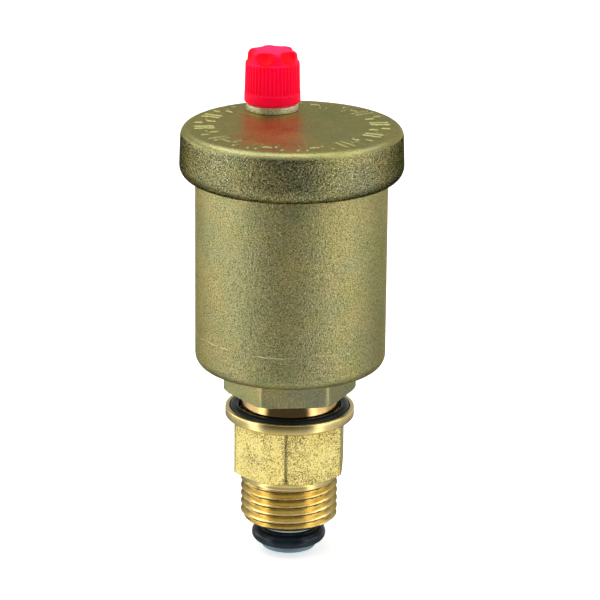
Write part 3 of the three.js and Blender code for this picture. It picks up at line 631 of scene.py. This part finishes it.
# ---------------------------------------------------------------- casing
def casing():
    outline = [
        (7.3, 5.1, 0.1), (SPIGOT_CREST, 6.0, 0), (SPIGOT_CREST, 14.2, 0), (7.45, 14.9, 0), (7.45, 15.0, 0),
        (10.65, 15.0, 0.25), (10.1, 18.35, 0.1),  # neck
        (13.6, 18.35, 0.1), (14.6, 18.9, 0), (14.6, 24.5, 0),  # hexagon
        (20.4, 24.5, 2.6), (20.4, 66.5, 0.35), (COVER_CREST, 66.5, 0), (COVER_CREST, 71.7, 0),  # wall, thread
        (19.0, 72.7, 0.1), (17.8, 72.7, 0.2), (17.8, 27.2, 2.0), (5.2, 27.2, 0.5), (5.2, 5.1, 0.25),  # hollow
    ]
    zones = [(7.2, 8.4, 5.1, 14.95, 0.13), (10.0, 10.7, 15.1, 18.4, 0.3), (12.0, 14.7, 18.35, 24.5, 0.12),
             (20.3, 20.5, 27, 66.2, 2.0), (19.0, 20.15, 66.45, 72.7, 0.17)]
    profile = refined(rounded(outline, True), True, zones)

    def shape(r, z, angle):
        spigot = SPIGOT_CREST - screw_depth(z, angle, SPIGOT_PITCH, SPIGOT_DEPTH)
        r = np.where((r > 7.2) & (r < 8.5) & (z < 14.95), np.minimum(r, spigot), r)
        flats = hexagon_radius(angle, CASING_HEXAGON)
        r = np.where((r > 12.0) & (r < 14.7) & (z > 18.3) & (z < 24.51), soft_min(r, flats, 0.2), r)
        thread = COVER_CREST - screw_depth(z, angle, COVER_PITCH, COVER_DEPTH)
        return np.where((r > 18.9) & (r < 20.2) & (z > 66.5), np.minimum(r, thread), r), z

    verts, faces, row = spun(profile, 240, shape, poles=False)
    middle = (profile + np.roll(profile, -1, 0)) / 2
    r, z = middle[:, 0], middle[:, 1]
    machined = (z < 18.34) | ((z > 66.6) & (r < 20.25)) | ((r < 17.9) & (z > 27.1))
    hexagon = (r > 12) & (r < 14.7) & (z < 24.4)
    which = np.where(machined, 1, np.where(hexagon, 2, 0))
    build("vent_casing", verts, faces, [cast_brass, neck_brass, milled_brass], "vent", ["vent_body"],
          which[row], sharp=40)


# ---------------------------------------------------------------- cover
MARK_HEIGHT = 0.28
MARK_EDGE = 0.36  # width of a mark's sloping edge
MARK_REPEATS = 12
# Raised marks of one twelfth of the cover: degrees at the middle, inner and outer radius, half of the width
# along the ring.
MARKS = [(4.0, 16.2, 20.8, 0.42), (9.0, 16.2, 20.8, 0.42), (14.5, 18.2, 19.0, 1.2), (20.0, 16.2, 18.5, 0.42),
         (24.5, 18.7, 20.8, 0.42)]
NOZZLE_CLEAR = 7.4  # no marks nearer the nozzle's axis than this


def raised_marks(r, angle):
    """How far a place on the cover's top is raised, from 0 between the marks to 1 on them."""
    height = np.zeros_like(r * angle)
    for repeat in range(MARK_REPEATS):
        for middle, inner, outer, half in MARKS:
            turned = angle - math.radians(360 / MARK_REPEATS * repeat + middle)
            away = (turned + math.pi) % (2 * math.pi) - math.pi
            side = half - np.abs(away) * r
            ends = np.minimum(r - inner, outer - r)
            height = np.maximum(height, bump_step(np.minimum(side, ends), -MARK_EDGE / 2, MARK_EDGE))
    x, y = r * np.cos(angle), r * np.sin(angle)
    far = np.hypot(x - NOZZLE_AXIS[0], y - NOZZLE_AXIS[1])
    return height * bump_step(far, NOZZLE_CLEAR, NOZZLE_CLEAR + 0.6)


def cover():
    outline = [
        (0, 74.4), (19.4, 74.4, 0.4), (19.4, 73.3, 0.1), (20.4, 72.9, 0), (20.4, 66.95, 0), (20.6, 66.8, 0),
        (20.6, 65.8, 0.1), (23.85, 65.8, 3.3), (23.45, 76.9, 2.0), (16.0, 76.9, 0), (0, 76.9),
    ]
    zones = [(20.35, 20.45, 66.9, 72.95, 0.2), (15.9, 22.0, 76.5, 77.0, 0.2), (0, 16.1, 76.8, 77.0, 4.0),
             (23.4, 23.9, 67, 76, 1.5)]
    profile = refined(rounded(outline, False), False, zones)

    def shape(r, z, angle):
        inner = COVER_CREST + FIT - screw_depth(z, angle, COVER_PITCH, COVER_DEPTH)
        top = (z > 76.6) & (r > 15.9)
        z = z + np.where(top, MARK_HEIGHT * raised_marks(r, angle), 0.0)
        return np.where((r > 20.3) & (r < 20.45) & (z > 66.95) & (z < 72.9), inner, r), z

    verts, faces, row = spun(profile, 720, shape)
    middle = (profile[:-1] + profile[1:]) / 2
    smooth = (middle[:, 1] > 75.7) | (middle[:, 0] < 20.55)
    build("cover_shell", verts, faces, [lid_brass, cover_brass], "lid", ["cover"],
          smooth[row].astype(int), sharp=50)


def nozzle():
    outline = [
        (2.95, 75.2, 0.1), (2.95, 76.95, 0), (5.6, 76.95, 0.1), (5.6, 78.4, 0.3), (3.4, 78.4, 0.1),  # collar
        (CAP_CREST, 79.0, 0), (CAP_CREST, 84.6, 0), (3.3, 85.2, 0.1),  # thread
        (1.5, 85.2, 0.3), (1.5, 75.2, 0.1),  # bore
    ]
    profile = refined(rounded(outline, True), True, [(3.3, 4.2, 78.5, 85.2, 0.12)])

    def shape(r, z, angle):
        thread = CAP_CREST - screw_depth(z, angle, CAP_PITCH, CAP_DEPTH)
        return np.where((r > 3.25) & (r < 4.2) & (z > 78.45), np.minimum(r, thread), r), z

    verts, faces, row = spun(profile, 96, shape, poles=False, centre=NOZZLE_AXIS)
    collar = (profile[:, 0] > 4.3) | (profile[:, 1] < 78.3)
    build("outlet_nozzle", verts, faces, [thread_brass, nozzle_brass], "lid", ["vent_nozzle"],
          collar[row].astype(int), sharp=40)


# ---------------------------------------------------------------- cap
RIBS, RIB_DEPTH = 44, 0.34
RIB_COLUMNS = 12  # columns of the mesh for each rib


def cap():
    outline = [
        (0, 86.5), (4.4, 86.5, 0.1), (4.4, 85.25, 0), (4.45, 85.15, 0), (4.45, 79.8, 0),  # inside
        (4.9, 79.3, 0.1), (4.9, 78.7, 0.15), (6.05, 78.7, 0.3), (6.02, 80.6, 0.1),  # lower rim
        (5.98, 80.9, 0), (5.82, 86.9, 0), (5.76, 87.4, 0.3),  # ribs
        (5.42, 87.45, 0.1), (5.36, 89.85, 0.95), (0, 90.0),  # head
    ]
    zones = [(4.4, 4.5, 79.7, 85.2, 0.15), (5.7, 6.05, 80.5, 87.2, 0.2), (4.2, 5.6, 87.4, 90.2, 0.1),
             (0, 4.7, 89, 91, 0.15)]
    profile = refined(rounded(outline, False), False, zones)

    def shape(r, z, angle):
        inner = CAP_CREST + FIT - screw_depth(z, angle, CAP_PITCH, CAP_DEPTH)
        r = np.where((r > 4.4) & (r < 4.5) & (z > 79.8) & (z < 85.15), inner, r)
        valley = (0.5 + 0.5 * np.cos(RIBS * angle)) ** 1.5
        along = bump_step(z, 80.75, 81.0) * (1 - bump_step(z, 86.7, 87.2))
        return np.where((r > 5.7) & (z > 80.5) & (z < 87.3), r - RIB_DEPTH * valley * along, r), z

    verts, faces, _ = spun(profile, RIBS * RIB_COLUMNS, shape, centre=NOZZLE_AXIS)
    head = verts[:, 2] > 87.44
    for k in range(SCOOPS):
        angle = math.radians(FIRST_SCOOP + 360 / SCOOPS * k)
        outward = np.array([math.cos(angle), math.sin(angle), 0])
        middle = np.array([*NOZZLE_AXIS, SCOOP_Z]) + SCOOP_RING * outward
        away = verts - middle
        far = np.linalg.norm(away, axis=1, keepdims=True)
        pushed = middle + away / far * -soft_min(-far, -SCOOP_RADIUS, 0.6)
        verts = np.where(head[:, None], pushed, verts)
    build("outlet_cap", verts, faces, [red_plastic], "cap", ["vent_cap"], sharp=50)


check_valve()
ring_seal("flange_ring_seal", 11.83, 1.08, 14.43, "shutoff_valve", "neck_o_ring")
check_plunger()
ring_seal("plunger_ring_seal", 6.47, 1.58, -14.42, "check", "plunger_o_ring")
spring_retainer()
spring("check_valve_spring", 6.0, 0.38, 5, -7.0, 2.9, "check_spring")
casing()
cover()
ring_seal("cover_ring_seal", 18.5, 0.78, 73.53, "cover_ring", "cover_o_ring")
nozzle()
cap()

# The material of each of the CAD's slots, for the nodes that no piece replaces.
FINISH = {
    "hex_brass": hex_brass, "blasted_brass": cast_brass, "turned_brass": nozzle_brass, "spring_steel": steel,
    "red_plastic": red_plastic, "grey_plastic": grey_plastic, "white_plastic": white_plastic,
    "black_rubber": black_rubber,
}
for subpart in frame["record"]["subparts"]:
    node = frame["nodes"][subpart["node"]]
    node.data.materials.clear()
    node.data.materials.append(FINISH[subpart["material_slot"]])


# ---------------------------------------------------------------- camera
SENSOR, LENS = 36, 189.36
LOOK_DOWN, ROLL = 17.7, 0.55  # degrees
CAMERA_AWAY = 674.0
TARGET = (2.0, 0.0, 38.5)

camera = bpy.data.objects.new("camera", bpy.data.cameras.new("camera"))
bpy.context.scene.collection.objects.link(camera)
camera.data.sensor_width = SENSOR
camera.data.lens = LENS
tilt = math.radians(LOOK_DOWN)
outward = Vector((0, -math.cos(tilt), math.sin(tilt)))
camera.location = (Vector(TARGET) + outward * CAMERA_AWAY) * MM
camera.rotation_mode = "QUATERNION"
roll = Matrix.Rotation(math.radians(ROLL), 3, "Z").to_quaternion()
camera.rotation_quaternion = (-outward).to_track_quat("-Z", "Y") @ roll
camera.data.clip_start = 0.01
bpy.context.scene.camera = camera


# ---------------------------------------------------------------- floor and light
FLOOR_Z, FLOOR_HALF = -18.0, 3000
SQUARE = ((-1, -1), (1, -1), (1, 1), (-1, 1))

floor_mesh = bpy.data.meshes.new("floor")
corners = [(x * FLOOR_HALF * MM, y * FLOOR_HALF * MM, FLOOR_Z * MM) for x, y in SQUARE]
floor_mesh.from_pydata(corners, [], [(0, 1, 2, 3)])
floor = bpy.data.objects.new("floor", floor_mesh)
bpy.context.scene.collection.objects.link(floor)
material, shader, make, place = new_material("pale_floor")
paper = noise(make, place, 60, 3.0)
color = mixed(make, paper, (0.93, 0.93, 0.93, 1), (0.95, 0.95, 0.95, 1))
finish_surface(material, shader, color, 0.9, 0.0, [], make)
shader.inputs["Specular IOR Level"].default_value = 0.0
shader.inputs["Emission Color"].default_value = (1, 1, 1, 1)
shader.inputs["Emission Strength"].default_value = 0.55
floor_mesh.materials.append(material)
floor.visible_glossy = False

world = bpy.data.worlds.new("studio")
bpy.context.scene.world = world
world.use_nodes = True
sky = world.node_tree
make = node_maker(world)
direction = make("ShaderNodeTexCoord").outputs["Generated"]
split = components(make, direction)
# Azimuth is 0 towards the viewer's side, -Y, and grows to the right, +X.
azimuth = math_node(make, "ARCTAN2", split["X"], math_node(make, "MULTIPLY", split["Y"], -1.0))
height = math_node(make, "ARCSINE", split["Z"])


def ramp(value, low, high, to_low, to_high):
    """A level that goes from to_low to to_high as value goes from low to high degrees."""
    return stepped(make, value, math.radians(low), math.radians(high), to_low, to_high)


BOX_EDGE = 10  # degrees over which a soft box fades out at its lower and upper edges
# The arguments of each soft box: middle, half, soft, low, high, power.
SOFT_BOXES = [
    (-66, 4, 9, -60, 60, 1.4), (-92, 22, 20, -12, 22, 2.0), (-98, 26, 25, -60, -2, 0.12),  # left
    (55, 4, 9, -60, 60, 1.3), (76, 15, 17, -12, 22, 1.9), (80, 20, 25, -60, -2, 0.12),  # right
    (135, 25, 20, -22, 10, 0.3),  # behind on the right
    (0, 40, 30, 30, 60, 0.5), (-105, 20, 22, 38, 64, 4.2), (92, 18, 20, 34, 60, 3.2),  # above
]


def soft_box(middle, half, soft, low, high, power):
    """Light from azimuths within half of middle, fading out over soft, and from heights of low to high.
    All but power are in degrees."""
    away = math_node(make, "SUBTRACT", azimuth, math.radians(middle))
    away = math_node(make, "ABSOLUTE", math_node(make, "WRAP", away, math.pi, -math.pi))
    across = ramp(away, half, half + soft, 1.0, 0.0)
    up = ramp(height, low, low + BOX_EDGE, 0.0, 1.0)
    down = ramp(height, high - BOX_EDGE, high, 1.0, 0.0)
    level = math_node(make, "MULTIPLY", math_node(make, "MULTIPLY", across, up), down)
    return math_node(make, "MULTIPLY", level, power)


behind = ramp(math_node(make, "ABSOLUTE", azimuth), 80, 130, 0.0, 1.0)
in_front = ramp(height, -32, -10, 0.65, 0.08)
at_back = ramp(height, -25, -9, 0.16, 0.42)
light = math_node(make, "MULTIPLY_ADD", math_node(make, "SUBTRACT", at_back, in_front), behind, in_front)
light = math_node(make, "ADD", light, ramp(height, 60, 80, 0.0, 2.4))  # the ceiling
for box in SOFT_BOXES:
    light = math_node(make, "ADD", light, soft_box(*box))
sky.links.new(light, sky.nodes["Background"].inputs["Strength"])
sky.nodes["Background"].inputs["Color"].default_value = (1.0, 0.99, 0.97, 1)

bpy.context.scene.view_settings.view_transform = "Standard"
